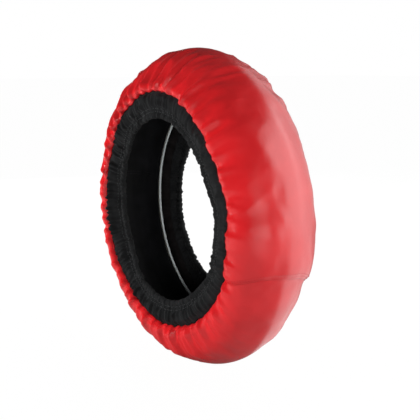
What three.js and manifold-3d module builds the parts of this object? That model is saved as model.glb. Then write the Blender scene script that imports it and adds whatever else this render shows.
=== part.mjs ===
// An electric tyre warmer for a motorcycle rear wheel: a padded, heated cover that wraps the tread and hangs
// down both sidewalls, closed by a hook-and-loop flap and drawn in on each side by a gathered black gaiter.
// It stands on its tread with no wheel in it. Millimetres, +Z up, +Y along the axle, the near side facing -Y,
// and the origin on the floor under the middle of the ring.
import * as THREE from "three";
import { mergeVertices } from "three/addons/utils/BufferGeometryUtils.js";
import Module from "manifold-3d";

const wasm = await Module();
wasm.setup();

// The ring, measured on the outside of the red shell
const ringRadius = 327; // axle to the middle of the tread
const tubeRadius = 237; // axle to the middle of the tyre's section
const halfWidth = 91; // middle of the tread to the widest place
const crownHeight = ringRadius - tubeRadius;
const flatDepth = 8; // how far the tread settles where it stands
const standHeight = ringRadius - flatDepth; // floor to axle
const ovalDepth = 4.5; // the soft ring is a little oval
const ovalAngle = THREE.MathUtils.degToRad(50);

// The cloth and what lies between its layers
const shellThickness = 1.2;
const feltThickness = 4;
const wireThickness = 3;
const liningThickness = 1;
const layerGap = 0.3;

// The padding hangs from the tread in a rounder section than the shell's
const padRadius = 64; // of the section, outside
const padEdgeAngle = THREE.MathUtils.degToRad(100); // how far the section reaches to each side
const feltTop = shellThickness + layerGap; // its depth under the outside of the tread

// The red shell's edge, where the black gaiter is sewn on
const seamRadius = 237;
const seamHalfWidth = 80;
const tuckRadius = 256; // where the shell's edge turns in
const tuckHalfWidth = 90;
const wallAngle = THREE.MathUtils.degToRad(66); // how far the shell's section is round, to each side
const wallRows = 6;

// The gaiter, from its seam to the hem that holds the elastic
const gaiterThickness = 1;
const gaiterBulge = 2.5;
const hemRadius = 182;
const hemHeight = 11;
const hemWidth = 8;
const hemHalfWidth = 75;
const elasticHeight = 5;
const elasticThickness = 1.5;

// The gathers: each fold has one crest and one valley
const foldCount = 42;
const shellFoldDepth = 7;
const hemFoldDepth = 5;
const foldStartRadius = 300; // no folds further out than this
const foldUnevenness = 0.3; // the share of its depth that a fold may lack
const foldSwells = 5; // how often the folds grow deep and shallow round the ring

// The closure: the strip's end laps over its start
const columnsPerTurn = 2 * foldCount;
const lapColumns = 4;
const riseColumns = 2.5; // the columns over which the strip rises onto its start
const endFlare = 0.5; // how far its end stands off, as a share of the lift
const columns = columnsPerTurn + lapColumns;
const tapeThickness = 1.5; // each of the hook and loop tapes
const tapeHalfWidth = 55; // how far the tapes reach from the crown
const tapeInset = 10; // their distance from the flap's ends
const lapLift = shellThickness + 2 * tapeThickness + 3 * layerGap;
const hemLift = hemWidth + gaiterThickness + layerGap;
const startAngle = 0; // where the strip starts, measured up from +X

// The padding is laid in straight facets
const foldsPerFacet = 2;
const padColumns = foldCount / foldsPerFacet;
const padRows = 6;
const padEndGap = 0.06; // half the gap between the padding's two ends, in columns

// The piping along the edges of the lining
const pipingRadius = 2.5;
const pipingSides = 5;

// The small parts in the padding, and the gland on the far side
const wireRuns = 4;
const wireTurnReach = 0.3; // how far its turns reach past its runs, in columns of the padding
const spliceLength = 22;
const spliceWidth = 5;
const thermostatLength = 20;
const thermostatWidth = 9;
const thermostatPlace = 1.5; // from the wire's start, in columns of the padding
const glandAngle = THREE.MathUtils.degToRad(-45);
const glandLength = 34;
const glandWidth = 22;
const glandBase = 1.6;
const glandMouthRadius = 5;
const glandRootRadius = 6.5;
const glandBootLength = 27;
const leadRadius = 3.6;
const leadSocketDepth = 18;

const red = new THREE.MeshStandardMaterial({ color: 0xcf1d26, roughness: 0.5 });
const black = new THREE.MeshStandardMaterial({ color: 0x17181a, roughness: 0.85 });
const liningBlack = new THREE.MeshStandardMaterial({ color: 0x0c0c0d, roughness: 0.6 });
const pipingBlack = new THREE.MeshStandardMaterial({ color: 0x2a2d2e, roughness: 0.25 });
const feltGrey = new THREE.MeshStandardMaterial({ color: 0x8d8b84, roughness: 1 });
const elasticBlack = new THREE.MeshStandardMaterial({ color: 0x222224, roughness: 0.9 });
const siliconeRed = new THREE.MeshStandardMaterial({ color: 0x9c3a2c, roughness: 0.5 });
const tapeBlack = new THREE.MeshStandardMaterial({ color: 0x101112, roughness: 1 });
const steel = new THREE.MeshStandardMaterial({ color: 0xb6b8ba, roughness: 0.35, metalness: 1 });
const rubber = new THREE.MeshStandardMaterial({ color: 0x1a1a1a, roughness: 0.7 });

const warmer = new THREE.Group();

function addPiece(name, geometry, material) {
  const mesh = new THREE.Mesh(geometry, material);
  mesh.name = name;
  warmer.add(mesh);
  return mesh;
}

// The unit vector out of the section at a point of it: across the axle on the side walls, up at the tread
function outward(y, radius) {
  return new THREE.Vector2(y / halfWidth, Math.max(0, radius - tubeRadius) / crownHeight).normalize();
}

// The shell's outside radius at a distance y from the middle of the tread
function treadRadius(y) {
  return tubeRadius + crownHeight * Math.sqrt(Math.max(0, 1 - (y / halfWidth) ** 2));
}

function foldDepth(radius) {
  const onShell = THREE.MathUtils.smoothstep(foldStartRadius - radius, 0, foldStartRadius - seamRadius);
  const onHem = THREE.MathUtils.smoothstep(seamRadius - radius, 0, seamRadius - hemRadius);
  return onShell * THREE.MathUtils.lerp(shellFoldDepth, hemFoldDepth, onHem);
}

// Folds stand out from the padding and never press into it. They are sewn flat under the gland.
function fold(y, radius, angle) {
  const wave = (1 + Math.cos(foldCount * (startAngle - angle))) / 2;
  const strength = 1 - foldUnevenness * (1 - Math.sin(foldSwells * angle + Math.sign(y)));
  const fromGland = Math.abs(Math.sin((angle - glandAngle) / 2)) * 2 * ringRadius;
  const nearGland = y > 0 && radius > seamRadius;
  const free = nearGland ? THREE.MathUtils.smoothstep(fromGland, glandLength, 2 * glandLength) : 1;
  return wave * strength * free * foldDepth(radius);
}

// Where a point of the tidy section lies on the real, soft ring, which is oval and settled on the floor
function settle(y, radius, angle, tread = treadRadius(y)) {
  const oval = ovalDepth * Math.cos(2 * (angle - ovalAngle));
  const down = Math.max(1e-6, -Math.sin(angle));
  const settled = Math.max(0, tread + oval - standHeight / down);
  const laid = radius + oval - settled;
  return new THREE.Vector3(laid * Math.cos(angle), y, standHeight + laid * Math.sin(angle));
}

// The same for the outer cloth, which is folded too, and lifted where it laps
function drape(y, radius, angle, lap = 0) {
  const out = outward(y, radius);
  const onHem = THREE.MathUtils.smoothstep(seamRadius - radius, 0, seamRadius - hemRadius - hemHeight);
  const rise = lap * THREE.MathUtils.lerp(lapLift, hemLift, onHem) + fold(y, radius, angle);
  return settle(y + out.x * rise, radius + out.y * rise, angle, treadRadius(y));
}

// A flat strip of cloth whose corners are laid one by one. place gets the column along the strip, the row
// across it, and the face: 0 inside, 1 outside.
function strip(columnCount, rowCount, place) {
  const box = new THREE.BoxGeometry(columnCount, rowCount, 1, columnCount, rowCount, 1);
  box.translate(columnCount / 2, rowCount / 2, 0.5);
  return laid(box, (p) => place(Math.round(p.x), Math.round(p.y), Math.round(p.z)));
}

// A round cord, laid the same way. place gets the column, and a point of the unit circle: outward, sideways.
function cord(columnCount, sides, place) {
  const tube = new THREE.CylinderGeometry(1, 1, columnCount, sides, columnCount);
  tube.translate(0, columnCount / 2, 0);
  return laid(tube, (p) => place(Math.round(p.y), p.x, p.z));
}

function laid(geometry, place) {
  geometry.deleteAttribute("normal");
  geometry.deleteAttribute("uv");
  const merged = mergeVertices(geometry);
  const corners = merged.attributes.position;
  for (let i = 0; i < corners.count; i += 1) {
    const corner = new THREE.Vector3().fromBufferAttribute(corners, i);
    corners.setXYZ(i, ...place(corner).toArray());
  }
  merged.computeVertexNormals();
  return merged;
}

// The columns of the gathered strips, which start under the flap and go once round and over their own start
function columnAngle(column) {
  return startAngle - (column / columnsPerTurn) * 2 * Math.PI;
}

// The strip rises onto its own start over the last columns before it, and its end stands off a little
function lapAt(column) {
  const rise = THREE.MathUtils.smoothstep(column, columnsPerTurn - riseColumns, columnsPerTurn);
  const flare = endFlare * Math.max(0, column - columns + 1);
  return rise + flare;
}

function sectionPoint(turn) {
  return new THREE.Vector2(halfWidth * Math.sin(turn), tubeRadius + crownHeight * Math.cos(turn));
}

// Even stations across a section, from one edge angle to the other
function turns(edgeAngle, rows) {
  return Array.from({ length: rows + 1 }, (_, row) => edgeAngle * ((2 * row) / rows - 1));
}

// The shell's stations across the ring, from its near seam to its far seam
const shellStations = [
  new THREE.Vector2(-seamHalfWidth, seamRadius),
  new THREE.Vector2(-tuckHalfWidth, tuckRadius),
  ...turns(wallAngle, wallRows).map(sectionPoint),
  new THREE.Vector2(tuckHalfWidth, tuckRadius),
  new THREE.Vector2(seamHalfWidth, seamRadius),
];
const crownRow = (shellStations.length - 1) / 2;

function addShell() {
  const geometry = strip(columns, shellStations.length - 1, (column, row, face) => {
    const station = shellStations[row];
    const inset = outward(station.x, station.y).multiplyScalar((1 - face) * shellThickness);
    return drape(station.x - inset.x, station.y - inset.y, columnAngle(column), lapAt(column));
  });
  addPiece("outer_shell", geometry, red);
}

// The gaiter's middle line: down from the seam, round the bottom of the hem and back up behind it
const gaiterLine = [
  new THREE.Vector2(seamHalfWidth, seamRadius - layerGap),
  new THREE.Vector2((seamHalfWidth + hemHalfWidth) / 2 + gaiterBulge, (seamRadius + hemRadius) / 2),
  new THREE.Vector2(hemHalfWidth + hemWidth / 2, hemRadius + hemHeight),
  new THREE.Vector2(hemHalfWidth, hemRadius),
  new THREE.Vector2(hemHalfWidth - hemWidth / 2, hemRadius + hemHeight),
];

// The unit vector to the outer side of the gaiter's middle line, shared between the two stretches at a corner
function gaiterNormal(row) {
  const before = gaiterLine[Math.max(0, row - 1)];
  const after = gaiterLine[Math.min(gaiterLine.length - 1, row + 1)];
  const along = after.clone().sub(before).normalize();
  return new THREE.Vector2(-along.y, along.x);
}

function addGaiter(name, side) {
  const lastRow = gaiterLine.length - 1;
  const geometry = strip(columns, lastRow, (column, row, face) => {
    const station = side > 0 ? row : lastRow - row;
    const shift = gaiterNormal(station).multiplyScalar((face - 0.5) * gaiterThickness);
    const y = side * (gaiterLine[station].x + shift.x);
    const radius = gaiterLine[station].y + shift.y;
    return drape(y, radius, columnAngle(column), lapAt(column));
  });
  addPiece(name, geometry, black);
}

function addElastic(name, side) {
  const top = hemRadius + hemHeight;
  const geometry = strip(columns, 1, (column, row, face) => {
    const down = side > 0 ? row : 1 - row;
    const y = side * (hemHalfWidth + (face - 0.5) * elasticThickness);
    return drape(y, top - down * elasticHeight, columnAngle(column), lapAt(column));
  });
  addPiece(name, geometry, elasticBlack);
}

const padTurns = turns(padEdgeAngle, padRows);

function padCorner(column, row, depth) {
  const turn = padTurns[row];
  const inner = padRadius - depth;
  const centre = ringRadius - feltTop - padRadius;
  return settle(inner * Math.sin(turn), centre + inner * Math.cos(turn), padAngle(column), treadRadius(0));
}

function padAngle(column) {
  return startAngle - (Math.min(Math.max(column, padEndGap), padColumns - padEndGap) / padColumns) * 2 * Math.PI;
}

// A point in the padding, on its straight facets: column and row may lie between the stations
function padPoint(column, row, depth) {
  return onFacet(column, row, padColumns, padRows, (c, r) => padCorner(c, r, depth));
}

// The point at a column and row that may lie between the corners of a grid of flat facets
function onFacet(column, row, columnCount, rowCount, corner) {
  const c = Math.min(Math.floor(column), columnCount - 1);
  const r = Math.min(Math.floor(row), rowCount - 1);
  const near = corner(c, r).lerp(corner(c + 1, r), column - c);
  const far = corner(c, r + 1).lerp(corner(c + 1, r + 1), column - c);
  return near.lerp(far, row - r);
}

// The tops of the layers, as depths under the outside of the felt
const wireTop = feltThickness + layerGap;
const liningTop = wireTop + wireThickness + layerGap;
const padThickness = liningTop + liningThickness;

function addPadLayer(name, top, thickness, material) {
  const geometry = strip(padColumns, padRows, (column, row, face) =>
    padPoint(column, row, top + (1 - face) * thickness),
  );
  addPiece(name, geometry, material);
}

// The size of one facet of the padding, to turn millimetres into columns and rows
const columnLength = (2 * Math.PI * (ringRadius - wireTop)) / padColumns;
const rowLength = (2 * padEdgeAngle * (padRadius - wireTop)) / padRows;

// A flat bar in the layer between the felt and the lining, along a route of columns and rows
function padBar(route, width) {
  return strip(route.length - 1, 1, (stop, edge, face) => {
    const before = route[Math.max(0, stop - 1)];
    const after = route[Math.min(route.length - 1, stop + 1)];
    const along = new THREE.Vector2((after.x - before.x) * columnLength, (after.y - before.y) * rowLength);
    along.normalize();
    const across = (edge - 0.5) * width;
    const column = route[stop].x - (along.y * across) / columnLength;
    const row = route[stop].y + (along.x * across) / rowLength;
    return padPoint(column, row, wireTop + (1 - face) * wireThickness);
  });
}

// The heating wire runs to and fro along the strip and ends beside its own start
const wireStart = 1;
const wireEnd = padColumns - 1;
const firstRun = (padRows - wireRuns + 1) / 2;
const turnStops = [
  new THREE.Vector2((2 / 3) * wireTurnReach, 0.3),
  new THREE.Vector2(wireTurnReach, 0.5),
  new THREE.Vector2((2 / 3) * wireTurnReach, 0.7),
];

function wireRoute() {
  const route = [];
  for (let run = 0; run < wireRuns; run += 1) {
    const row = firstRun + run;
    const forth = run % 2 === 0;
    for (let column = wireStart; column <= wireEnd; column += 1) {
      route.push(new THREE.Vector2(forth ? column : wireStart + wireEnd - column, row));
    }
    if (run < wireRuns - 1) {
      for (const stop of turnStops) {
        route.push(new THREE.Vector2(forth ? wireEnd + stop.x : wireStart - stop.x, row + stop.y));
      }
    }
  }
  return route;
}

// The crimped sleeves that join the two ends of the wire to the lead
function addSplices() {
  const near = wireStart - layerGap / columnLength;
  const far = near - spliceLength / columnLength;
  [0, wireRuns - 1].forEach((run, i) => {
    const row = firstRun + run;
    const route = [new THREE.Vector2(far, row), new THREE.Vector2(near, row)];
    addPiece(`splice_sleeve_${i + 1}`, padBar(route, spliceWidth), steel);
  });
}

// The thermostat lies beside the first run of the wire
function addThermostat() {
  const row = firstRun - 1;
  const from = wireStart + thermostatPlace;
  const route = [new THREE.Vector2(from, row), new THREE.Vector2(from + thermostatLength / columnLength, row)];
  addPiece("thermostat", padBar(route, thermostatWidth), steel);
}

// The piping closes the edge of the padding, a gap away from the felt and the lining
function addPiping(name, side) {
  const reach = padRadius - padThickness / 2;
  const turn = padEdgeAngle + (pipingRadius + layerGap) / reach;
  const centre = ringRadius - feltTop - padRadius;
  const geometry = cord(padColumns, pipingSides, (column, out, across) => {
    const y = side * reach * Math.sin(turn) + across * pipingRadius;
    return settle(y, centre + reach * Math.cos(turn) + out * pipingRadius, padAngle(column), treadRadius(0));
  });
  addPiece(name, geometry, pipingBlack);
}

// The tapes of the closure lie on the crown, one on the strip's start and one under its end
const tapeEnd = tapeInset / ((2 * Math.PI * ringRadius) / columnsPerTurn); // in columns
const tapeReach = tapeHalfWidth / shellStations[crownRow].distanceTo(shellStations[crownRow + 1]); // in rows

function addTape(name, firstColumn, top, lapped) {
  const stops = [0, 1, 2, 3, lapColumns].map((stop) => THREE.MathUtils.clamp(stop, tapeEnd, lapColumns - tapeEnd));
  const rows = [-tapeReach, -1, 0, 1, tapeReach].map((row) => crownRow + row);
  const geometry = strip(stops.length - 1, rows.length - 1, (stop, row, face) =>
    shellPoint(firstColumn + stops[stop], rows[row], top + (1 - face) * tapeThickness, lapped),
  );
  addPiece(name, geometry, tapeBlack);
}

// A point on the shell's facets, or off them by a depth
function shellPoint(column, row, depth, lapped) {
  return onFacet(column, row, columns, shellStations.length - 1, (c, r) => {
    const station = shellStations[r];
    const inset = outward(station.x, station.y).multiplyScalar(depth);
    return drape(station.x - inset.x, station.y - inset.y, columnAngle(c), lapped ? lapAt(c) : 0);
  });
}

function solidOf(geometry) {
  geometry.deleteAttribute("normal");
  geometry.deleteAttribute("uv");
  const merged = mergeVertices(geometry, 1e-4);
  return new wasm.Manifold(
    new wasm.Mesh({ numProp: 3, vertProperties: merged.attributes.position.array, triVerts: merged.index.array }),
  );
}

function geometryOf(solid) {
  const mesh = solid.getMesh();
  const geometry = new THREE.BufferGeometry();
  geometry.setAttribute("position", new THREE.BufferAttribute(mesh.vertProperties, 3));
  geometry.setIndex(new THREE.BufferAttribute(mesh.triVerts, 1));
  geometry.computeVertexNormals();
  return geometry;
}

// The gland that the lead would leave by: a sewn base, and a low boot with a socket in its mouth. It lies on
// the facet of the far wall under the tread's round part.
function addGland() {
  const corner = glandWidth / 3;
  const outline = new THREE.Shape();
  outline.absarc(glandLength / 2 - corner, glandWidth / 2 - corner, corner, 0, Math.PI / 2);
  outline.absarc(-glandLength / 2 + corner, glandWidth / 2 - corner, corner, Math.PI / 2, Math.PI);
  outline.absarc(-glandLength / 2 + corner, -glandWidth / 2 + corner, corner, Math.PI, 1.5 * Math.PI);
  outline.absarc(glandLength / 2 - corner, -glandWidth / 2 + corner, corner, 1.5 * Math.PI, 2 * Math.PI);
  const base = new THREE.ExtrudeGeometry(outline, { depth: glandBase, bevelEnabled: false, curveSegments: 3 });
  const boot = new THREE.CylinderGeometry(glandMouthRadius, glandRootRadius, glandBootLength, 12);
  boot.rotateZ(-Math.PI / 2).translate(0, 0, glandMouthRadius + glandBase);
  const below = new THREE.BoxGeometry(2 * glandLength, 2 * glandWidth, glandRootRadius);
  below.translate(0, 0, -glandRootRadius / 2);
  const socket = new THREE.CylinderGeometry(leadRadius, leadRadius, leadSocketDepth, 12);
  const mouth = glandBootLength / 2 - leadSocketDepth / 2 + layerGap;
  socket.rotateZ(-Math.PI / 2).translate(mouth, 0, glandMouthRadius + glandBase);
  const solid = solidOf(base).add(solidOf(boot)).subtract(solidOf(below)).subtract(solidOf(socket));
  const mesh = addPiece("cable_gland", geometryOf(solid), rubber);

  const column = ((startAngle - glandAngle) / (2 * Math.PI)) * columnsPerTurn;
  const row = crownRow + wallRows / 2 + 0.5;
  const seat = (c, r) => shellPoint(column + c, row + r, -layerGap, false);
  mesh.position.copy(seat(0, 0));
  const along = seat(0.5, 0).sub(seat(-0.5, 0)).normalize();
  const across = seat(0, 0.5).sub(seat(0, -0.5));
  const up = new THREE.Vector3().crossVectors(along, across).normalize();
  across.crossVectors(up, along);
  mesh.quaternion.setFromRotationMatrix(new THREE.Matrix4().makeBasis(along, across, up));
}

addShell();
addGaiter("near_gaiter", -1);
addGaiter("far_gaiter", 1);
addElastic("near_elastic", -1);
addElastic("far_elastic", 1);
addPadLayer("insulation_felt", 0, feltThickness, feltGrey);
addPiece("heating_wire", padBar(wireRoute(), wireThickness), siliconeRed);
addSplices();
addThermostat();
addPadLayer("inner_lining", liningTop, liningThickness, liningBlack);
addPiping("near_piping", -1);
addPiping("far_piping", 1);
addTape("loop_tape", 0, -layerGap - tapeThickness, false);
addTape("hook_tape", columnsPerTurn, shellThickness + layerGap, true);
addGland();

export default warmer;
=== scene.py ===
import math

import bmesh
import bpy
import numpy as np
from mathutils import Matrix, Vector


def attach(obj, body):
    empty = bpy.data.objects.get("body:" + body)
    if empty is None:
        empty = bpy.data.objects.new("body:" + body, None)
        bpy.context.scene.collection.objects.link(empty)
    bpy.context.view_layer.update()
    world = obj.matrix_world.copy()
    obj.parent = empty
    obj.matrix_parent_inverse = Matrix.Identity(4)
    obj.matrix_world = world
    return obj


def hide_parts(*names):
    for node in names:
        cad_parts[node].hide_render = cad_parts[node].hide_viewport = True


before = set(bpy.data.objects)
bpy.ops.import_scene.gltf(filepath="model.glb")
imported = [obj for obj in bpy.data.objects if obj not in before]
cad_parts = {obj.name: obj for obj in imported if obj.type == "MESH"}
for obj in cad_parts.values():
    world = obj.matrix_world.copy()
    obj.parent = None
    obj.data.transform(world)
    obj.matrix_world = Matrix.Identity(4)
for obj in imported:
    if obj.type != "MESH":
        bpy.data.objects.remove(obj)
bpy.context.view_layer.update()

TURN = 2 * math.pi

# The ring, as in the solids, in metres
RING_RADIUS = 0.327
TUBE_RADIUS = 0.237
HALF_WIDTH = 0.091
CROWN_HEIGHT = RING_RADIUS - TUBE_RADIUS
FLAT_DEPTH = 0.008
AXLE_HEIGHT = RING_RADIUS - FLAT_DEPTH
OVAL_DEPTH = 0.0045
OVAL_ANGLE = math.radians(50)
SHELL_THICKNESS = 0.0012
LAYER_GAP = 0.0003
TAPE_THICKNESS = 0.0015
PILE_THICKNESS = 0.8 * TAPE_THICKNESS
GAITER_THICKNESS = 0.0008
ELASTIC_THICKNESS = 0.0012
SEAM = (0.080, 0.237)
HEM_RADIUS = 0.182

# The padding under the tread
PAD_RADIUS = 0.064
PAD_EDGE_ANGLE = math.radians(100)
FELT_THICKNESS = 0.004
WIRE_THICKNESS = 0.003
LINING_THICKNESS = 0.001
PIPING_RADIUS = 0.0025
WIRE_RADIUS = 0.0010
SPLICE_RADIUS = 0.0013
SPLICE_LENGTH = 0.020
THERMOSTAT_SIZE = (0.019, 0.008, 0.0024)

# The thread's radius in each kind of stitching
SEAM_THREAD = 0.00045
HEM_THREAD = 0.0007
FLAP_THREAD = 0.0004
LINING_THREAD = 0.0005
FINE_THREAD = 0.0004

# The closure: the strip's end laps over its start, which lies at angle 0
CROWN_LAP = math.radians(12.8)
NEAR_EDGE_LAP = math.radians(17.5)
FAR_EDGE_LAP = math.radians(22)
HEM_LAP = math.radians(25)
TAPE_START = math.radians(1.7)
TAPE_END = math.radians(12)
TAPE_HALF_WIDTH = 0.052
LAP_LIFT = SHELL_THICKNESS + 2 * TAPE_THICKNESS + 3 * LAYER_GAP
HEM_LIFT = 0.0046
RISE_ANGLE = math.radians(11)
LIP_ANGLE = math.radians(3.5)
LIP_REACH = 0.013
LIP_PULL = 0.74

# Where the flap bulges and where its lip stands open: place across and size
FLAP_BULGE = (0.012, 0.022)
FLAP_MOUTH = (0.020, 0.014)

# The dimples beside the flap's lip: place across, distance from the lip, depth and size
CLOSURE_DIMPLES = [
    (0.020, 0.002, 0.0020, 0.009), (-0.018, 0.008, 0.0013, 0.008), (-0.036, 0.004, 0.0016, 0.009),
    (0.004, -0.012, 0.0012, 0.010), (-0.052, -0.010, 0.0022, 0.010),
]

# The gland on the far wall
GLAND_ANGLE = math.radians(-45)
GLAND_PLACE = (0.0866, 0.2648)
GLAND_ALONG = 0.029
GLAND_LENGTH = 0.034
GLAND_WIDTH = 0.022
GLAND_BASE = 0.0016
GLAND_BOOT_HEIGHT = 0.0066

# The red cloth's folds: how high each kind stands, and how far it runs from the seam
GATHERS = 56
SPLIT_FOLDS = (0.0030, 0.018)
MAIN_FOLDS = (0.0120, 0.058)
MERGED_FOLDS = (0.0095, 0.088)
CREASES = (0.0062, 0.085)
SMALL_CREASES = (0.0026, 0.035)
FOLD_BASE = 0.0036

# The black cloth's folds: how high each kind stands
GAITER_BROAD = 0.0060
GAITER_SPLIT = 0.0052
GAITER_FINE = 0.0030
GAITER_CREASES = 0.0085
HEM_RUFFLES = 0.0034
HEM_GROOVE = 0.0022

# How far the near wall's inner part sags towards the far side, in millimetres, every 30 degrees from +X
NEAR_SAG = (9, -4, -8, -6, -7, -5, -9, -5, 0, 2, 3, 12)
# How much further its hem sags, and how far its seam and hem are drawn outwards
HEM_SAG = (0, 0, 0, 0, 3, 8, 17, 17, 3, 0, 0, 0)
NEAR_DRAW = (0, 0, 3, 7, 7, 3, 0, 0, 0, 0, 0, 0)

# The photograph's camera, seen from the near side and a little above
CAMERA_AZIMUTH = math.radians(57.7)
CAMERA_ELEVATION = math.radians(11.5)
CAMERA_DISTANCE = 1.476
CAMERA_LENS = 60.5
IMAGE_SIZE = 420
AXLE_PIXEL = (194.4, 208.2)

# The studio: how bright the world is on the cloth and in its gloss, and the floor's own glow
AMBIENT_LIGHT = 0.08
AMBIENT_GLOSS = 0.05
FLOOR_GLOW = 1.04
FLOOR_GLOW_SHARE = 0.95


def smoothstep(value, low, high):
    share = np.clip((value - low) / (high - low), 0, 1)
    return share * share * (3 - 2 * share)


def wander(angle, seed, knots):
    """Smooth, uneven values from -1 to 1 round the ring, the same after a full turn."""
    heights = np.random.default_rng(seed).uniform(-1, 1, knots)
    place = (angle / TURN * knots) % knots
    low = np.floor(place).astype(int)
    share = smoothstep(place - low, 0, 1)
    return heights[low % knots] * (1 - share) + heights[(low + 1) % knots] * share


def crumple(angle, across, seed, knots, reach):
    """The same over a surface: it changes over the given reach across the strip too."""
    rows = 24
    heights = np.random.default_rng(seed).uniform(-1, 1, (knots, rows))
    place = (angle / TURN * knots) % knots
    row = np.clip(across / reach + rows / 2, 0, rows - 1.001)
    low, base = np.floor(place).astype(int), np.floor(row).astype(int)
    along, over = smoothstep(place - low, 0, 1), smoothstep(row - base, 0, 1)
    near = heights[low % knots, base] * (1 - along) + heights[(low + 1) % knots, base] * along
    far = heights[low % knots, base + 1] * (1 - along) + heights[(low + 1) % knots, base + 1] * along
    return near * (1 - over) + far * over


def pleat(phase):
    """A row of rounded folds, steeper on one side, with sharp valleys between them, from 0 to 1."""
    phase = phase + 0.6 * np.sin(phase)
    return np.sqrt(np.cos(phase / 2) ** 2 + 0.005)


def round_the_ring(angle, values):
    """Smooth values round the ring through evenly spaced ones."""
    values = np.array(values, float)
    place = (angle / TURN * len(values)) % len(values)
    low = np.floor(place).astype(int)
    share = smoothstep(place - low, 0, 1)
    return values[low % len(values)] * (1 - share) + values[(low + 1) % len(values)] * share


# Sections

def tread_radius(y):
    return TUBE_RADIUS + CROWN_HEIGHT * np.sqrt(np.clip(1 - (y / HALF_WIDTH) ** 2, 0, 1))


def smooth_line(points, count):
    """Evenly spaced points on a smooth curve through the given ones."""
    knots = np.array([points[0], *points, points[-1]], float)
    fine = []
    for a, b, c, d in zip(knots, knots[1:], knots[2:], knots[3:]):
        for t in np.linspace(0, 1, 24, endpoint=False):
            curve = 2 * b + (c - a) * t + (2 * a - 5 * b + 4 * c - d) * t**2 + (3 * b - a - 3 * c + d) * t**3
            fine.append(curve / 2)
    fine.append(knots[-1])
    return evenly(np.array(fine), count)


def evenly(line, count):
    lengths = distances(line)
    stops = np.linspace(0, lengths[-1], count)
    return np.stack([np.interp(stops, lengths, column) for column in line.T], axis=1)


def line_length(line):
    return float(np.linalg.norm(np.diff(line, axis=0), axis=1).sum())


def line_normals(line):
    """Unit vectors to the left of a line of (y, radius) points."""
    along = np.gradient(line, axis=0)
    along /= np.linalg.norm(along, axis=1, keepdims=True)
    return np.stack([-along[:, 1], along[:, 0]], axis=1)


def ellipse_point(turn):
    return (HALF_WIDTH * math.sin(turn), TUBE_RADIUS + CROWN_HEIGHT * math.cos(turn))


def shell_section(rows):
    """The red cloth across the ring, from its near seam over the tread to its far seam."""
    half = [ellipse_point(math.radians(turn)) for turn in (0, 11, 22, 33, 44, 55, 66, 75)]
    half += [(0.0905, 0.2530), (0.0875, 0.2420), SEAM]
    near = [(-y, radius) for y, radius in reversed(half[1:])]
    return closer_at_ends(smooth_line(near + half, 400), rows)


def closer_at_ends(line, count):
    """Points on a line that lie closer together towards its ends."""
    lengths = distances(line)
    stops = np.linspace(-1, 1, count)
    stops = (1 + stops * (1.32 - 0.32 * stops**2)) / 2 * lengths[-1]
    return np.stack([np.interp(stops, lengths, column) for column in line.T], axis=1)


def distances(line):
    """How far each point of a line lies along it."""
    return np.concatenate([[0], np.cumsum(np.linalg.norm(np.diff(line, axis=0), axis=1))])


def gaiter_section(rows):
    """The black cloth on the far side, from its seam to the hem and back up inside it."""
    points = [SEAM, (0.0828, 0.2300), (0.0850, 0.2190), (0.0838, 0.2070), (0.0782, 0.1965)]
    points += [(0.0800, 0.1905), (0.0790, 0.1845), (0.0750, HEM_RADIUS), (0.0712, 0.1850), (0.0705, 0.1930)]
    return smooth_line(points, rows)


# Draping the cloth round the ring

def settle(y, radius, angle, tread):
    """Points of the real, soft ring, which is oval and settled on the floor."""
    oval = OVAL_DEPTH * np.cos(2 * (angle - OVAL_ANGLE))
    down = np.maximum(1e-6, -np.sin(angle))
    settled = np.maximum(0, tread + oval - AXLE_HEIGHT / down)
    laid = radius + oval - settled
    return np.stack([laid * np.cos(angle), y + 0 * laid, AXLE_HEIGHT + laid * np.sin(angle)], axis=-1)


def lap_end(y):
    """How far the flap reaches past the strip's start: furthest at the far wall."""
    near = CROWN_LAP + (NEAR_EDGE_LAP - CROWN_LAP) * (y / SEAM[0]) ** 4
    far = CROWN_LAP + (FAR_EDGE_LAP - CROWN_LAP) * (y / SEAM[0]) ** 2
    return np.where(y < 0, near, far)


def lap_at(turned, end, bulged=0.0, open_lip=0.0):
    """The strip's lift, as a share of the full one, at an angle from its start.

    Its lip is pulled down onto the cloth below, less so where open_lip is 1.
    """
    left = (TURN + end - turned) * RING_RADIUS
    rise = smoothstep(turned, TURN - RISE_ANGLE, TURN)
    bulge = bulged * np.exp(-(((left - 0.026) / 0.014) ** 2))
    lip = LIP_PULL * (1 - 0.7 * open_lip) * (1 - smoothstep(left, 0, LIP_REACH))
    return rise + (bulge - lip) * (turned > TURN)


def closure_dents(turned, end, y, near):
    """The dimples along the flap's lip, in both layers, and a crease along the near seam below it."""
    left = ((end - turned + math.pi) % TURN - math.pi) * RING_RADIUS
    dents = 0
    for across, before, depth, size in CLOSURE_DIMPLES:
        dents = dents + depth * np.exp(-(((left - before) / size) ** 2) - ((y - across) / size) ** 2)
    turned_in = 0.0045 * smoothstep(y, 0.030, 0.075) * np.exp(-(((left + 0.012) / 0.020) ** 2))
    groove = np.exp(-(((near - 0.014) / 0.005) ** 2) - ((turned - math.radians(22)) / 0.045) ** 2)
    return -dents - turned_in - 0.0035 * groove


def fold_reach(angle):
    """The folds run furthest over the upper left of the ring and are short beside the closure."""
    upper_left = smoothstep(np.cos(angle - math.radians(120)), -0.3, 0.75)
    bottom = smoothstep(np.cos(angle + math.radians(85)), 0.2, 0.9)
    return 0.45 + 1.2 * upper_left + 0.55 * bottom


def ridges(angle, across, seed, knots, reach):
    """Uneven ridges with rounded tops, from 0 to 1."""
    return 1 - np.sqrt(crumple(angle, across, seed, knots, reach) ** 2 + 0.004)


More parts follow.
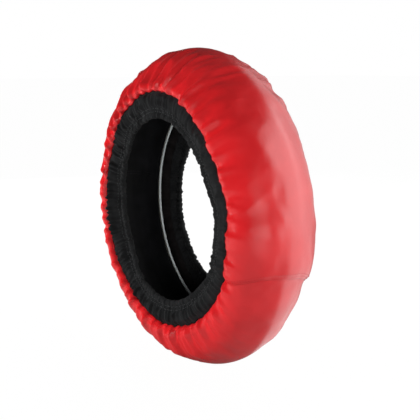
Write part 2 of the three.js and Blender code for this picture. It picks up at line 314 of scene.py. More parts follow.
def gather_phase(angle, side, along):
    """The phase of the main gathers, which lean and wander as they leave the seam."""
    key = 1 if side > 0 else 2
    lean = 26 * along * (1 + 0.45 * wander(angle, 11 * key, 7))
    return GATHERS * angle + lean + 2.6 * wander(angle + 0.5 * along, 30 + key, 19)


def shell_folds(angle, side, along):
    """How far the red cloth stands out: along is the distance from its nearer seam.

    Small folds at the seam merge into broad ones, and all of them die away over the tread.
    """
    key = 1 if side > 0 else 2
    reach = fold_reach(angle)
    phase = gather_phase(angle, side, along)
    leaning = angle + 1.1 * along
    uneven = 0.62 + 0.38 * crumple(angle, along, 50 + key, 47, 0.035)
    patchy = 0.55 + 0.45 * crumple(angle, along, 70 + key, 23, 0.05)

    def soft_end(folds):
        return folds[0] * np.exp(-((along / (folds[1] * reach)) ** 2))

    def sharp_end(folds):
        return folds[0] * np.exp(-along / folds[1])

    split = (pleat(2 * phase + 2 * wander(angle, 55, 29)) - 0.6) * sharp_end(SPLIT_FOLDS)
    middle = (pleat(phase) - 0.6) * uneven * soft_end(MAIN_FOLDS)
    merged = (pleat(phase / 2 + 1) - 0.6) * patchy * soft_end(MERGED_FOLDS)
    creased = ridges(leaning, along, 40 + key, 96, 0.05) * soft_end(CREASES)
    small = ridges(leaning, along, 60 + key, 190, 0.022) * sharp_end(SMALL_CREASES)
    pinned = smoothstep(along, 0, 0.018)
    calm = 1 - 0.45 * smoothstep(np.cos(angle - math.radians(190)), 0.5, 1)
    return (split + middle + merged + creased + small - FOLD_BASE) * pinned * (0.5 + 0.5 * reach) * calm


def seam_waves(angle, side):
    """How far the seam between the red and the black cloth strays from its circle."""
    key = 1 if side > 0 else 2
    slow = 0.0018 * wander(angle, 110 + key, 31) + 0.0010 * wander(angle, 112 + key, 83)
    return 0.0026 * (pleat(gather_phase(angle, side, 0)) - 0.62) + slow


def soft_dents(angle, y):
    """The shallow dents and long, soft folds of the red cloth over its whole face."""
    long_waves = 0.0022 * crumple(angle + 3 * y, y, 61, 30, 0.045)
    dents = 0.0011 * crumple(angle + 1.5 * y, y, 62, 70, 0.022)
    creases = 0.0012 * ridges(angle - 2.5 * y, y, 63, 58, 0.035)
    return (long_waves + dents + creases) * (1 - 0.5 * smoothstep(np.abs(y), 0.05, 0.09))


def gaiter_folds(angle, side, share):
    """How far the black cloth stands out, from its seam (0) to the end of its hem (1)."""
    key = 3 if side > 0 else 4
    phase = gather_phase(angle, side, 0) + 2.2 * share * wander(angle, 70 + key, 13)
    onwards = smoothstep(share, 0, 0.35)
    busy = 0.75 + 0.35 * np.cos(angle - math.radians(190))
    broad = (pleat(phase) - 0.4) * GAITER_BROAD * (1 - 0.35 * onwards)
    split = (pleat(2 * phase + 1.1 + 2.5 * wander(angle, 74 + key, 41)) - 0.4) * GAITER_SPLIT
    fine = (pleat(3 * phase + 2.5 * wander(angle, 76 + key, 41)) - 0.4) * GAITER_FINE
    creased = ridges(angle + 0.12 * share, share, 84 + key, 61, 0.4) * GAITER_CREASES
    uneven = 0.6 + 0.4 * crumple(angle, share, 100 + key, 47, 0.12)
    on_hem = smoothstep(share, HEM_START - 0.04, HEM_START + 0.04)
    stitched = -HEM_GROOVE * np.exp(-(((share - HEM_START) / 0.022) ** 2))
    ruffled = ridges(angle, share, 90 + key, 205, 0.5) * HEM_RUFFLES * on_hem
    return (broad + split + fine + creased) * uneven * busy * (1 - 0.6 * on_hem) + stitched + ruffled


def off_gland(angle, along):
    """0 where the gland is sewn to the far wall, growing to 1 around it."""
    round_it = (angle - GLAND_ANGLE + math.pi) % TURN - math.pi
    apart = np.hypot(round_it * GLAND_PLACE[1], along - GLAND_ALONG)
    return smoothstep(apart, 0.019, 0.045)


def cloth_sheet(name, section, columns, place, material):
    """A grid of cloth. place turns (column, row) arrays into points; the UV map is in metres."""
    rows = len(section) - 1
    mesh = bmesh.new()
    uv = mesh.loops.layers.uv.new("UVMap")
    bmesh.ops.create_grid(mesh, x_segments=columns, y_segments=rows, size=1, calc_uvs=True)
    length, width = TURN * RING_RADIUS, line_length(section)
    for face in mesh.faces:
        for loop in face.loops:
            loop[uv].uv = (loop[uv].uv.x * length, loop[uv].uv.y * width)
    data = bpy.data.meshes.new(name)
    mesh.to_mesh(data)
    mesh.free()
    corners = np.zeros(len(data.vertices) * 3)
    data.vertices.foreach_get("co", corners)
    corners = corners.reshape(-1, 3)
    column = (corners[:, 0] + 1) / 2
    row = np.rint((corners[:, 1] + 1) / 2 * rows).astype(int)
    data.vertices.foreach_set("co", place(column, row).ravel())
    return finished(name, data, material)


def finished(name, data, material):
    data.materials.append(material)
    data.polygons.foreach_set("use_smooth", [True] * len(data.polygons))
    piece = bpy.data.objects.new(name, data)
    bpy.context.scene.collection.objects.link(piece)
    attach(piece, "root")
    return piece


def thicken(piece, thickness, offset=-1):
    wall = piece.modifiers.new("wall", "SOLIDIFY")
    wall.thickness = thickness
    wall.offset = offset
    return wall


# Materials

def new_material(name, color, roughness):
    material = bpy.data.materials.new(name)
    material.use_nodes = True
    shader = material.node_tree.nodes["Principled BSDF"]
    shader.inputs["Base Color"].default_value = (*color, 1)
    shader.inputs["Roughness"].default_value = roughness
    return material, shader


def add_node(material, kind, **inputs):
    node = material.node_tree.nodes.new(kind)
    for name, value in inputs.items():
        node.inputs[name.replace("_", " ")].default_value = value
    return node


def link(material, source, output, target, socket):
    material.node_tree.links.new(source.outputs[output], target.inputs[socket])


def add_bump(material, shader, source, output, strength, distance, below=None):
    bump = add_node(material, "ShaderNodeBump", Strength=strength, Distance=distance)
    link(material, source, output, bump, "Height")
    if below:
        link(material, below, "Normal", bump, "Normal")
    link(material, bump, "Normal", shader, "Normal")
    return bump


def add_weave(material, shader, pitch, strength, below=None):
    """Plain weave on the piece's UV map, whose units are metres."""
    place = add_node(material, "ShaderNodeUVMap")
    place.uv_map = "UVMap"
    threads = []
    for direction in ("X", "Y"):
        wave = add_node(material, "ShaderNodeTexWave", Scale=0.314 / pitch, Distortion=0.4)
        wave.bands_direction = direction
        link(material, place, "UV", wave, "Vector")
        threads.append(wave)
    both = add_node(material, "ShaderNodeMath")
    both.operation = "MULTIPLY"
    material.node_tree.links.new(threads[0].outputs["Fac"], both.inputs[0])
    material.node_tree.links.new(threads[1].outputs["Fac"], both.inputs[1])
    return add_bump(material, shader, both, "Value", strength, pitch / 4, below)


def add_mottle(material, shader, first, second, scale):
    """Soft, uneven colour, from one shade to another."""
    place = add_node(material, "ShaderNodeTexCoord")
    noise = add_node(material, "ShaderNodeTexNoise", Scale=scale, Detail=4.0, Roughness=0.55)
    link(material, place, "Object", noise, "Vector")
    ramp = add_node(material, "ShaderNodeValToRGB")
    ramp.color_ramp.elements[0].position = 0.35
    ramp.color_ramp.elements[0].color = (*first, 1)
    ramp.color_ramp.elements[1].position = 0.68
    ramp.color_ramp.elements[1].color = (*second, 1)
    link(material, noise, "Fac", ramp, "Fac")
    link(material, ramp, "Color", shader, "Base Color")
    return noise


def red_nylon():
    material, shader = new_material("red_nylon", (0.60, 0.007, 0.010), 0.30)
    shader.inputs["IOR"].default_value = 1.75
    shader.inputs["Specular IOR Level"].default_value = 0.85
    shader.inputs["Sheen Weight"].default_value = 0.02
    shader.inputs["Sheen Roughness"].default_value = 0.4
    shader.inputs["Sheen Tint"].default_value = (1.0, 0.5, 0.45, 1)
    add_mottle(material, shader, (0.56, 0.005, 0.008), (0.68, 0.009, 0.013), 9.0)
    crush = add_node(material, "ShaderNodeTexNoise", Scale=70.0, Detail=5.0, Roughness=0.6)
    place = add_node(material, "ShaderNodeTexCoord")
    link(material, place, "Object", crush, "Vector")
    below = add_bump(material, shader, crush, "Fac", 0.22, 0.0012)
    add_weave(material, shader, 0.0007, 0.2, below)
    return material


def inner_face_painted_shade():
    # Painted shade: the red shell's inner faces are made near black to stand for the shade inside the ring.
    material, shader = new_material("inner_face_painted_shade", (0.010, 0.009, 0.009), 0.7)
    shader.inputs["Specular IOR Level"].default_value = 0.3
    add_mottle(material, shader, (0.007, 0.006, 0.006), (0.014, 0.012, 0.012), 30.0)
    return material


def fuzzy_tape(name, pitch, strength):
    """Hook or loop tape: black pile in rows."""
    material, shader = new_material(name, (0.012, 0.012, 0.013), 0.95)
    shader.inputs["Sheen Weight"].default_value = 0.4
    add_mottle(material, shader, (0.008, 0.008, 0.009), (0.020, 0.020, 0.021), 200.0)
    add_weave(material, shader, pitch, strength)
    return material


def needled_felt():
    material, shader = new_material("needled_felt", (0.26, 0.25, 0.22), 1.0)
    fibres = add_mottle(material, shader, (0.20, 0.19, 0.17), (0.32, 0.31, 0.28), 300.0)
    add_bump(material, shader, fibres, "Fac", 0.6, 0.0008)
    return material


def woven_elastic():
    material, shader = new_material("woven_elastic", (0.016, 0.016, 0.017), 0.8)
    add_mottle(material, shader, (0.012, 0.012, 0.013), (0.022, 0.022, 0.023), 100.0)
    add_weave(material, shader, 0.0012, 0.6)
    return material


def plated_steel():
    material, shader = new_material("plated_steel", (0.55, 0.56, 0.57), 0.3)
    shader.inputs["Metallic"].default_value = 1.0
    add_mottle(material, shader, (0.48, 0.49, 0.50), (0.62, 0.63, 0.64), 120.0)
    return material


def moulded_rubber():
    material, shader = new_material("moulded_rubber", (0.014, 0.014, 0.014), 0.55)
    grain = add_mottle(material, shader, (0.011, 0.011, 0.011), (0.019, 0.019, 0.019), 160.0)
    add_bump(material, shader, grain, "Fac", 0.15, 0.0004)
    return material


def silicone_jacket():
    material, shader = new_material("silicone_jacket", (0.32, 0.045, 0.03), 0.45)
    add_mottle(material, shader, (0.28, 0.038, 0.025), (0.36, 0.052, 0.036), 80.0)
    return material


def thread(name, color):
    material, shader = new_material(name, color, 0.6)
    light = tuple(min(1, 1.3 * value + 0.002) for value in color)
    add_mottle(material, shader, color, light, 400.0)
    return material


def black_gaiter_cloth():
    material, shader = new_material("black_gaiter_cloth", (0.011, 0.0115, 0.012), 0.85)
    shader.inputs["Specular IOR Level"].default_value = 0.2
    shader.inputs["Sheen Weight"].default_value = 0.015
    shader.inputs["Sheen Roughness"].default_value = 0.4
    add_mottle(material, shader, (0.009, 0.0093, 0.0096), (0.015, 0.0155, 0.016), 40.0)
    add_weave(material, shader, 0.0009, 0.35)
    return material


def black_lining_cloth():
    material, shader = new_material("black_lining_cloth", (0.006, 0.006, 0.0065), 0.62)
    shader.inputs["Specular IOR Level"].default_value = 0.3
    add_mottle(material, shader, (0.004, 0.004, 0.0045), (0.008, 0.008, 0.009), 25.0)
    add_weave(material, shader, 0.0008, 0.3)
    return material


def glossy_piping_painted_highlight():
    # Painted highlight: the pale grey base colour and its mottle stand in for the bright arc of gloss along
    # the piping, on top of its own grey.
    material, shader = new_material("glossy_piping_painted_highlight", (0.50, 0.54, 0.54), 0.25)
    shader.inputs["Coat Weight"].default_value = 0.5
    shader.inputs["Coat Roughness"].default_value = 0.12
    add_mottle(material, shader, (0.46, 0.50, 0.50), (0.56, 0.60, 0.60), 30.0)
    return material


RED = red_nylon()
INNER_FACE_SHADE = inner_face_painted_shade()
BLACK = black_gaiter_cloth()
LINING = black_lining_cloth()
# The piping's material, whose pale colour carries a painted highlight.
PIPING = glossy_piping_painted_highlight()
LOOP_TAPE = fuzzy_tape("loop_pile", 0.0012, 0.7)
HOOK_TAPE = fuzzy_tape("hook_rows", 0.0016, 0.9)
STEEL = plated_steel()
FELT = needled_felt()
ELASTIC = woven_elastic()
RUBBER = moulded_rubber()
SILICONE = silicone_jacket()
RED_THREAD = thread("red_thread", (0.42, 0.010, 0.014))
BLACK_THREAD = thread("black_thread", (0.040, 0.041, 0.042))


# The red shell

SHELL_COLUMNS = 900
SHELL_ROWS = 54
SHELL_SECTION = shell_section(SHELL_ROWS + 1)
SHELL_NORMALS = line_normals(SHELL_SECTION)
SHELL_STATIONS = distances(SHELL_SECTION)
SHELL_WIDTH = SHELL_STATIONS[-1]


def shell_points(column, row, inset=0.0, lapped=1.0):
    """The red strip's points: column runs from 0 to 1 along it, row counts across it."""
    y = SHELL_SECTION[row, 0]
    turned = column * (TURN + lap_end(y))
    return shell_at(turned, row, inset, lapped)


def shell_at(turned, row, inset, lapped):
    """The strip's points by angle from its start: inset from its outside, and lifted where it laps.

    The padding holds the cloth up over the tread, so no fold there goes below held_up.
    """
    y, radius = SHELL_SECTION[row, 0], SHELL_SECTION[row, 1]
    end = lap_end(y)
    angle = -turned
    near = SHELL_STATIONS[row]
    far = SHELL_WIDTH - near
    far_folds = shell_folds(angle, 1, far) * off_gland(angle, far)
    rise = np.where(near < far, shell_folds(angle, -1, near), far_folds)
    bulged = 0.35 * np.exp(-(((y - FLAP_BULGE[0]) / FLAP_BULGE[1]) ** 2))
    open_lip = np.exp(-(((y - FLAP_MOUTH[0]) / FLAP_MOUTH[1]) ** 2))
    held_up = -LAYER_GAP - np.minimum(4 * y**2, 0.016)
    rise = np.maximum(rise + soft_dents(angle, y), held_up) - inset + closure_dents(turned, end, y, near)
    rise = rise + lapped * LAP_LIFT * lap_at(turned, end, bulged, open_lip)
    waves = np.where(near < far, seam_waves(angle, -1), seam_waves(angle, 1))
    scallop = waves * np.exp(-np.minimum(near, far) / 0.012)
    by_seam = np.exp(-((near / 0.032) ** 2)) / 1000
    y_out = y + SHELL_NORMALS[row, 0] * rise + round_the_ring(angle, NEAR_SAG) * by_seam
    radius_out = radius + SHELL_NORMALS[row, 1] * rise + scallop + round_the_ring(angle, NEAR_DRAW) * by_seam
    return settle(y_out, radius_out, angle, tread_radius(y))


def make_shell():
    piece = cloth_sheet("red_shell", SHELL_SECTION, SHELL_COLUMNS, shell_points, RED)
    # Its inner faces take the near-black painted shade, through the wall's material offset.
    piece.data.materials.append(INNER_FACE_SHADE)
    wall = thicken(piece, SHELL_THICKNESS)
    wall.material_offset = 1
    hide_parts("outer_shell")


# The gaiters

GAITER_COLUMNS = 1080
GAITER_ROWS = 30
GAITER_SECTION = gaiter_section(GAITER_ROWS + 1)
HEM_START = 0.45
HEM_MIDDLE = 0.0752


def gaiter_points(side, column, row, y=None, radius=None):
    """The black strip's points, by row from its seam to the end of its hem."""
    share = row / GAITER_ROWS
    y = GAITER_SECTION[row, 0] if y is None else y
    radius = GAITER_SECTION[row, 1] if radius is None else radius
    edge_lap = NEAR_EDGE_LAP if side < 0 else FAR_EDGE_LAP
    end = edge_lap + (HEM_LAP - edge_lap) * smoothstep(share, 0, 0.7)
    turned = column * (TURN + end)
    angle = -turned
    lift = LAP_LIFT + (HEM_LIFT - LAP_LIFT) * smoothstep(share, 0, 0.6)
    stand = gaiter_folds(angle, side, share) * smoothstep(share, 0, 0.16)
    stand = stand + lift * lap_at(turned, end) - 0.0014
    edge = smoothstep(share, 0.42, 0.62)
    ruffle = 0.0030 * (ridges(angle, share, 95 + side, 128, 3.0) - 0.6) * edge
    ruffle = ruffle + 0.0016 * (ridges(angle, share, 97 + side, 205, 3.0) - 0.6) * edge
    scallop = seam_waves(angle, side) * (1 - smoothstep(share, 0, 0.3))
    doubled = smoothstep(turned, TURN - RISE_ANGLE, TURN) + smoothstep(-turned, -end - LIP_ANGLE, -end)
    flattened = (y - HEM_MIDDLE) * (1 - 0.5 * np.clip(doubled, 0, 1) * edge) + HEM_MIDDLE
    sag, draw = 0, 0
    if side < 0:
        hem_sag = round_the_ring(angle, HEM_SAG) * smoothstep(share, 0, 0.6)
        sag = (round_the_ring(angle, NEAR_SAG) + hem_sag) / 1000
        draw = round_the_ring(angle, NEAR_DRAW) / 1000
    return settle(side * (flattened + stand) + sag, radius + ruffle + scallop + draw, angle, 0)


def make_gaiter(name, side, node):
    def place(column, row):
        return gaiter_points(side, column, row if side > 0 else GAITER_ROWS - row)

    piece = cloth_sheet(name, GAITER_SECTION, GAITER_COLUMNS, place, BLACK)
    thicken(piece, GAITER_THICKNESS)
    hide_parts(node)


def make_elastic(name, side, node):
    """The elastic band inside the hem, gathered with it."""
    band = np.array([(0.0752, 0.1925), (0.0752, 0.1900), (0.0752, 0.1875)])
    hem_row = round(0.72 * GAITER_ROWS)

    def place(column, row):
        station = band[row if side > 0 else 2 - row]
        return gaiter_points(side, column, hem_row + 0 * row, station[:, 0], station[:, 1])

    piece = cloth_sheet(name, band, 620, place, ELASTIC)
    thicken(piece, ELASTIC_THICKNESS, 0)
    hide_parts(node)


# The padding: felt, heating wire, lining and piping

PAD_GAP = 0.003
LINING_SEAM_ANGLE = math.radians(173)
PAD_CENTRE = RING_RADIUS - SHELL_THICKNESS - LAYER_GAP - PAD_RADIUS
LINING_DEPTH = FELT_THICKNESS + WIRE_THICKNESS + 2 * LAYER_GAP
PAD_THICKNESS = LINING_DEPTH + LINING_THICKNESS


def pad_point(angle, turn, depth):
    """A point in the padding, by angle round the ring, angle round the section, and depth."""
    inner = PAD_RADIUS - depth
    return settle(inner * np.sin(turn), PAD_CENTRE + inner * np.cos(turn), angle, RING_RADIUS)


def make_pad_layer(name, depth, thickness, columns, material, node):
    turns = np.linspace(-PAD_EDGE_ANGLE, PAD_EDGE_ANGLE, 41)
    inner = PAD_RADIUS - depth
    section = np.stack([inner * np.sin(turns), PAD_CENTRE + inner * np.cos(turns)], axis=1)

    def place(column, row):
        angle = -(PAD_GAP + column * (TURN - 2 * PAD_GAP))
        turn = turns[row]
        sunk = 0.0006 * np.abs(np.sin(turn * 10)) + 0.0008 * crumple(angle, turn, 130, 37, 0.4)
        return pad_point(angle, turn, depth + sunk)

    piece = cloth_sheet(name, section, columns, place, material)
    thicken(piece, thickness)
    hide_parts(node)
    return piece, line_length(section)


def make_padding():
    felt, _ = make_pad_layer(
        "padding_felt", 0.0014, FELT_THICKNESS - 0.0019, 320, FELT, "insulation_felt"
    )
    lining, width = make_pad_layer(
        "lining_cloth", LINING_DEPTH, LINING_THICKNESS, 360, LINING, "inner_lining"
    )


def make_piping(name, side, node):
    reach = PAD_RADIUS - PAD_THICKNESS / 2
    turn = side * (PAD_EDGE_ANGLE + (PIPING_RADIUS + LAYER_GAP) / reach)
    angles = -np.linspace(PAD_GAP, TURN - PAD_GAP, 361)
    line = pad_point(angles, turn + 0 * angles, PAD_THICKNESS / 2)
    piece = finished(name, tube_mesh(name, line, PIPING_RADIUS), PIPING)
    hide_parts(node)


WIRE_START = TURN / 21
SPLICE_REACH = 0.035
THERMOSTAT_ANGLE = -2.64 * WIRE_START
THERMOSTAT_TURN = math.radians(-83.3)
WIRE_TURNS = [math.radians(turn) for turn in (-50, -16.7, 16.7, 50)]


def make_wire():
    """The heating wire, run to and fro between the felt and the lining."""
    depth = LINING_DEPTH - LAYER_GAP - WIRE_THICKNESS / 2 + 0.0007
    route = []
    for run, turn in enumerate(WIRE_TURNS):
        angles = np.linspace(WIRE_START, TURN - WIRE_START, 181)
        forth = run % 2 == 0
        angles = angles if forth else angles[::-1]
        route += [(angle, turn) for angle in angles]
        if run < len(WIRE_TURNS) - 1:
            half = (WIRE_TURNS[run + 1] - turn) / 2
            for swing in np.linspace(-1.4, 1.4, 11):
                bulge = 0.06 * math.cos(swing)
                route.append((angles[-1] + (bulge if forth else -bulge), turn + half * (1 + math.sin(swing))))
    angle, turn = np.array(route).T
    line = pad_point(-angle, turn, depth)
    piece = finished("heating_wire_run", tube_mesh("heating_wire_run", line, WIRE_RADIUS), SILICONE)
    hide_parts("heating_wire")


def pad_frame(angle, turn, depth):
    """A matrix that stands on the padding: X along the ring, Y across the section, Z outwards."""
    at = Vector(pad_point(np.array(angle), np.array(turn), depth))
    along = Vector(pad_point(np.array(angle - 0.01), np.array(turn), depth)) - at
    outwards = Vector(pad_point(np.array(angle), np.array(turn), depth - 0.001)) - at
    along.normalize()
    outwards = (outwards - outwards.dot(along) * along).normalized()
    across = outwards.cross(along)
    return Matrix.Translation(at) @ Matrix((along, across, outwards)).transposed().to_4x4()


def from_bmesh(name, mesh, material):
    bmesh.ops.recalc_face_normals(mesh, faces=mesh.faces)
    data = bpy.data.meshes.new(name)
    mesh.to_mesh(data)
    mesh.free()
    return finished(name, data, material)


def make_splice(name, turn, node):
    mesh = bmesh.new()
    bmesh.ops.create_cone(
        mesh, cap_ends=True, segments=20, radius1=SPLICE_RADIUS, radius2=SPLICE_RADIUS, depth=SPLICE_LENGTH,
        matrix=Matrix.Rotation(math.pi / 2, 4, "Y"),
    )
    rims = [edge for edge in mesh.edges if len(edge.link_faces[0].verts) != len(edge.link_faces[1].verts)]
    bmesh.ops.bevel(mesh, geom=rims, offset=0.0003, segments=2, profile=0.5, affect="EDGES", material=-1)
    place = pad_frame(-(WIRE_START - SPLICE_REACH), turn, LINING_DEPTH - 0.0016)
    bmesh.ops.transform(mesh, matrix=place, verts=mesh.verts)
    piece = from_bmesh(name, mesh, STEEL)
    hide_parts(node)


def make_thermostat():
    mesh = bmesh.new()
    bmesh.ops.create_cube(mesh, size=1, matrix=Matrix.Diagonal((*THERMOSTAT_SIZE, 1)))
    bmesh.ops.bevel(
        mesh, geom=mesh.edges[:], offset=0.0009, segments=3, profile=0.5, affect="EDGES", material=-1
    )
    place = pad_frame(THERMOSTAT_ANGLE, THERMOSTAT_TURN, LINING_DEPTH - 0.0018)
    bmesh.ops.transform(mesh, matrix=place, verts=mesh.verts)
    piece = from_bmesh("temperature_limiter", mesh, STEEL)
    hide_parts("thermostat")


def tube_mesh(name, line, radius):
    """A closed round tube along a line of points."""
    curve = bpy.data.curves.new(name, "CURVE")
    curve.dimensions = "3D"
    curve.bevel_depth = radius
    curve.bevel_resolution = 3
    curve.use_fill_caps = True
    spline = curve.splines.new("POLY")
    spline.points.add(len(line) - 1)
    for point, place in zip(spline.points, line):
        point.co = (*place, 1)
    holder = bpy.data.objects.new(name + "_route", curve)
    bpy.context.scene.collection.objects.link(holder)
    bpy.context.view_layer.update()
    data = bpy.data.meshes.new_from_object(holder)
    bpy.data.objects.remove(holder)
    bpy.data.curves.remove(curve)
    data.materials.clear()
    return data


# The closure's tapes

def make_tape(name, depth, lapped, material, node):
    """A tape on the crown, on the strip's start or under its end, at a depth below the cloth's outside."""
    rows = 20
    first = int(np.argmin(np.abs(SHELL_SECTION[:, 0] + TAPE_HALF_WIDTH)))
    stations = np.linspace(first, SHELL_ROWS - first, rows + 1).round().astype(int)
    section = SHELL_SECTION[stations]

    def place(column, row):
        turned = TAPE_START + column * (TAPE_END - TAPE_START) + (TURN if lapped else 0)
        return shell_at(turned, stations[row], depth, 1.0 if lapped else 0.0)

    piece = cloth_sheet(name, section, 30, place, material)
    thicken(piece, PILE_THICKNESS)
    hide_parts(node)


# Stitching

def make_stitches(name, points, radius, material):
    """A row of thread stitches: points holds one row of places, two for each stitch."""
    mesh = bmesh.new()
    for start, end in zip(points[0:-1:2], points[1::2]):
        start, end = Vector(start), Vector(end)
        length = (end - start).length
        turn = (end - start).to_track_quat("X", "Z").to_matrix().to_4x4()
        size = Matrix.Diagonal((length * 0.4, radius, radius, 1))
        place = Matrix.Translation((start + end) / 2) @ turn @ size
        bmesh.ops.create_icosphere(mesh, subdivisions=1, radius=1, matrix=place)
    piece = from_bmesh(name, mesh, material)


SEAM_STITCH_POINTS = 760
HEM_STITCH_POINTS = 440
HEM_ROW_SHARES = (0.50, 0.60)
FLAP_ROW_INSETS = (0.006, 0.012)


def seam_rows():
    """Two rows of red stitches beside each seam and two of black on each hem, round the whole ring."""
    column = np.linspace(0.002, 0.998, SEAM_STITCH_POINTS)
    hem_column = np.linspace(0.002, 0.998, HEM_STITCH_POINTS)
    for side, name in ((-1, "near"), (1, "far")):
        for step in (1, 2):
            row = np.full(SEAM_STITCH_POINTS, 2 * step if side < 0 else SHELL_ROWS - 2 * step)
            points = shell_points(column, row, -0.0002)
            make_stitches(f"{name}_seam_stitches_{step}", points, SEAM_THREAD, RED_THREAD)
        for number, share in enumerate(HEM_ROW_SHARES, 1):
            row = np.full(HEM_STITCH_POINTS, round(share * GAITER_ROWS))
            points = gaiter_points(side, hem_column, row)
            points[:, 1] += side * 0.0003
            make_stitches(
                f"{name}_hem_stitches_{number}", points, HEM_THREAD, BLACK_THREAD
            )


def flap_rows():
    """Two rows of stitches along the edge of the flap."""
    row = np.arange(3, SHELL_ROWS - 2)
    for number, inset in enumerate(FLAP_ROW_INSETS, 1):
        turned = TURN + lap_end(SHELL_SECTION[row, 0]) - inset / RING_RADIUS
        points = shell_at(turned, row, -0.0002, 1.0)
        fine = evenly(points, 120)
        make_stitches(f"flap_stitches_{number}", fine, FLAP_THREAD, RED_THREAD)


def lining_rows():
    """The seam across the lining, and the stitching along it."""
    depth = PAD_THICKNESS + 0.0002
    turn = np.linspace(-1.62, 1.62, 81)
    for number, angle in enumerate((LINING_SEAM_ANGLE, LINING_SEAM_ANGLE + 0.022), 1):
        points = pad_point(angle + 0 * turn, turn, depth)
        make_stitches(
            f"lining_seam_stitches_{number}", points, LINING_THREAD, BLACK_THREAD
        )
    angle = np.linspace(0.03, TURN - 0.03, 601)
    for number, turn in enumerate((-1.55, 1.55), 1):
        points = pad_point(-angle, turn + 0 * angle, depth)
        make_stitches(
            f"lining_edge_stitches_{number}", points, FINE_THREAD, BLACK_THREAD
        )


# The gland

def gland_frame():
    """A matrix on the far wall: X along the ring, Y across the wall, Z outwards."""
    def at(turn, y, radius):
        return Vector(settle(np.array(y), np.array(radius), np.array(GLAND_ANGLE - turn), radius))

    y, radius = GLAND_PLACE
    out = Vector((0.0930, 0.0368)).normalized()
    seat = at(0, y + out.x * 0.0008, radius + out.y * 0.0008)
    up = (at(0, y + out.x * 0.01, radius + out.y * 0.01) - seat).normalized()
    along = at(0.01, y, radius) - at(-0.01, y, radius)
    along = (along - along.dot(up) * up).normalized()
    return Matrix.Translation(seat) @ Matrix((along, up.cross(along), up)).transposed().to_4x4()


def make_gland():
    """A sewn base with rounded corners, and on it a low boot with a socket in its mouth."""
    seat = gland_frame()
    mesh = bmesh.new()
    size = Matrix.Diagonal((GLAND_LENGTH, GLAND_WIDTH, GLAND_BASE, 1))
    bmesh.ops.create_cube(mesh, size=1, matrix=Matrix.Translation((0, 0, GLAND_BASE / 2)) @ size)
    corners = [edge for edge in mesh.edges if abs(edge.verts[0].co.z - edge.verts[1].co.z) > GLAND_BASE / 2]
    bmesh.ops.bevel(mesh, geom=corners, offset=0.0073, segments=8, profile=0.5, affect="EDGES", material=-1)
    rims = [edge for edge in mesh.edges if min(edge.verts[0].co.z, edge.verts[1].co.z) > GLAND_BASE / 2]
    bmesh.ops.bevel(mesh, geom=rims, offset=0.0005, segments=3, profile=0.5, affect="EDGES", material=-1)
    profile = [(-0.0135, 0), (-0.0135, 0.0045), (-0.0128, 0.0058), (-0.0110, 0.0064), (0.0115, 0.0052)]
    profile += [(0.0130, 0.0050), (0.0135, 0.0046), (0.0135, 0.0038), (0.0130, 0.0036), (-0.0045, 0.0036)]
    profile += [(-0.0045, 0)]
    line = [mesh.verts.new((x, 0, GLAND_BOOT_HEIGHT + radius)) for x, radius in profile]
    edges = [mesh.edges.new(pair) for pair in zip(line, line[1:])]
    bmesh.ops.spin(
        mesh, geom=line + edges, cent=(0, 0, GLAND_BOOT_HEIGHT), axis=(1, 0, 0), angle=TURN,
        steps=40, use_merge=True,
    )
    bmesh.ops.remove_doubles(mesh, verts=mesh.verts, dist=0.00001)
    bmesh.ops.transform(mesh, matrix=seat, verts=mesh.verts)
    piece = from_bmesh("moulded_gland", mesh, RUBBER)
    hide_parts("cable_gland")

    round_it = np.linspace(0, TURN, 73)
    across = np.sign(np.cos(round_it)) * np.abs(np.cos(round_it)) ** 0.45 * (GLAND_LENGTH / 2 - 0.0020)
    upwards = np.sign(np.sin(round_it)) * np.abs(np.sin(round_it)) ** 0.6 * (GLAND_WIDTH / 2 - 0.0020)
    sewn = evenly(np.stack([across, upwards], axis=1), 61)
    points = [seat @ Vector((x, y, GLAND_BASE)) for x, y in sewn]
    make_stitches("gland_stitches", points, FINE_THREAD, BLACK_THREAD)


# Stage

def make_stage():
    mesh = bmesh.new()
    bmesh.ops.create_grid(mesh, x_segments=1, y_segments=1, size=30)
    data = bpy.data.meshes.new("floor")
    mesh.to_mesh(data)
    mesh.free()
    floor = bpy.data.objects.new("floor", data)
    bpy.context.scene.collection.objects.link(floor)
    material, shader = new_material("white_floor", (0.3, 0.3, 0.3), 0.9)
    glow = add_node(material, "ShaderNodeEmission", Strength=FLOOR_GLOW)
    path = add_node(material, "ShaderNodeLightPath")
    faint = add_node(material, "ShaderNodeMath")
    faint.operation = "MULTIPLY"
    faint.inputs[1].default_value = FLOOR_GLOW_SHARE
    link(material, path, "Is Camera Ray", faint, 0)
    mix = add_node(material, "ShaderNodeMixShader")
    link(material, faint, "Value", mix, "Fac")
    material.node_tree.links.new(shader.outputs["BSDF"], mix.inputs[1])
    material.node_tree.links.new(glow.outputs["Emission"], mix.inputs[2])
    output = material.node_tree.nodes["Material Output"]
    link(material, mix, "Shader", output, "Surface")
    data.materials.append(material)


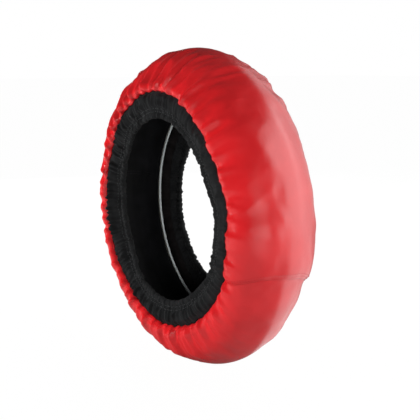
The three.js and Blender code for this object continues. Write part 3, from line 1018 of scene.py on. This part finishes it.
def make_world():
    world = bpy.data.worlds.new("studio")
    world.use_nodes = True
    nodes, links = world.node_tree.nodes, world.node_tree.links
    ambient = nodes["Background"]
    ambient.inputs["Color"].default_value = (1, 1, 1, 1)
    ambient.inputs["Strength"].default_value = AMBIENT_LIGHT
    white = nodes.new("ShaderNodeBackground")
    white.inputs["Color"].default_value = (1, 1, 1, 1)
    white.inputs["Strength"].default_value = 1.0
    path = nodes.new("ShaderNodeLightPath")
    dim = nodes.new("ShaderNodeBackground")
    dim.inputs["Color"].default_value = (1, 1, 1, 1)
    dim.inputs["Strength"].default_value = AMBIENT_GLOSS
    mirrored = nodes.new("ShaderNodeMixShader")
    links.new(path.outputs["Is Glossy Ray"], mirrored.inputs["Fac"])
    links.new(ambient.outputs["Background"], mirrored.inputs[1])
    links.new(dim.outputs["Background"], mirrored.inputs[2])
    mix = nodes.new("ShaderNodeMixShader")
    links.new(path.outputs["Is Camera Ray"], mix.inputs["Fac"])
    links.new(mirrored.outputs["Shader"], mix.inputs[1])
    links.new(white.outputs["Background"], mix.inputs[2])
    links.new(mix.outputs["Shader"], nodes["World Output"].inputs["Surface"])
    bpy.context.scene.world = world


def view_direction(azimuth, elevation):
    flat = math.cos(elevation)
    return Vector((math.sin(azimuth) * flat, -math.cos(azimuth) * flat, math.sin(elevation)))


AXLE = Vector((0, 0, AXLE_HEIGHT))


def add_softbox(name, azimuth, elevation, distance, size, watts, mirrored=True, upwards=False):
    """A soft lamp that faces the axle, or faces straight up from the floor.

    Azimuth and elevation are in degrees. A lamp that isn't mirrored doesn't show in the gloss.
    """
    lamp = bpy.data.lights.new(name, "AREA")
    lamp.shape = "RECTANGLE"
    lamp.size, lamp.size_y = size
    lamp.energy = watts
    holder = bpy.data.objects.new(name, lamp)
    direction = view_direction(math.radians(azimuth), math.radians(elevation))
    holder.location = AXLE + distance * direction
    backwards = Vector((0, 0, -1)) if upwards else direction
    holder.rotation_euler = backwards.to_track_quat("Z", "Y").to_euler()
    holder.visible_camera = False
    holder.visible_glossy = mirrored
    bpy.context.scene.collection.objects.link(holder)


def make_camera():
    data = bpy.data.cameras.new("camera")
    data.lens = CAMERA_LENS
    data.sensor_width = 36
    data.shift_x = (IMAGE_SIZE / 2 - AXLE_PIXEL[0]) / IMAGE_SIZE
    data.shift_y = (AXLE_PIXEL[1] - IMAGE_SIZE / 2) / IMAGE_SIZE
    camera = bpy.data.objects.new("camera", data)
    direction = view_direction(CAMERA_AZIMUTH, CAMERA_ELEVATION)
    camera.location = AXLE + CAMERA_DISTANCE * direction
    camera.rotation_euler = direction.to_track_quat("Z", "Y").to_euler()
    bpy.context.scene.collection.objects.link(camera)
    bpy.context.scene.camera = camera


make_camera()
make_world()
make_stage()
add_softbox("left_softbox", -40, -3, 2.4, (0.5, 0.5), 88, False)
add_softbox("front_softbox", 54, 0, 2.6, (1.0, 1.0), 48, False)
add_softbox("right_softbox", 125, 15, 2.2, (3.1, 3.9), 56)
add_softbox("back_softbox", 182, 15, 2.2, (2.4, 3.9), 26)
add_softbox("low_softbox", 134, -10.6, 1.7, (2.2, 2.2), 13, upwards=True)
add_softbox("rear_softbox", 250, 12, 2.4, (1.5, 1.5), 75, False)
make_shell()
make_gaiter("near_gaiter_cloth", -1, "near_gaiter")
make_gaiter("far_gaiter_cloth", 1, "far_gaiter")
make_elastic("near_elastic_band", -1, "near_elastic")
make_elastic("far_elastic_band", 1, "far_elastic")
make_padding()
make_piping("near_edge_piping", -1, "near_piping")
make_piping("far_edge_piping", 1, "far_piping")
make_wire()
make_splice("splice_crimp_1", WIRE_TURNS[0], "splice_sleeve_1")
make_splice("splice_crimp_2", WIRE_TURNS[-1], "splice_sleeve_2")
make_thermostat()
make_tape("loop_tape_pile", -(LAYER_GAP + PILE_THICKNESS), False, LOOP_TAPE, "loop_tape")
make_tape("hook_tape_rows", SHELL_THICKNESS + LAYER_GAP, True, HOOK_TAPE, "hook_tape")
seam_rows()
flap_rows()
lining_rows()
make_gland()

bpy.context.scene.view_settings.view_transform = "Standard"
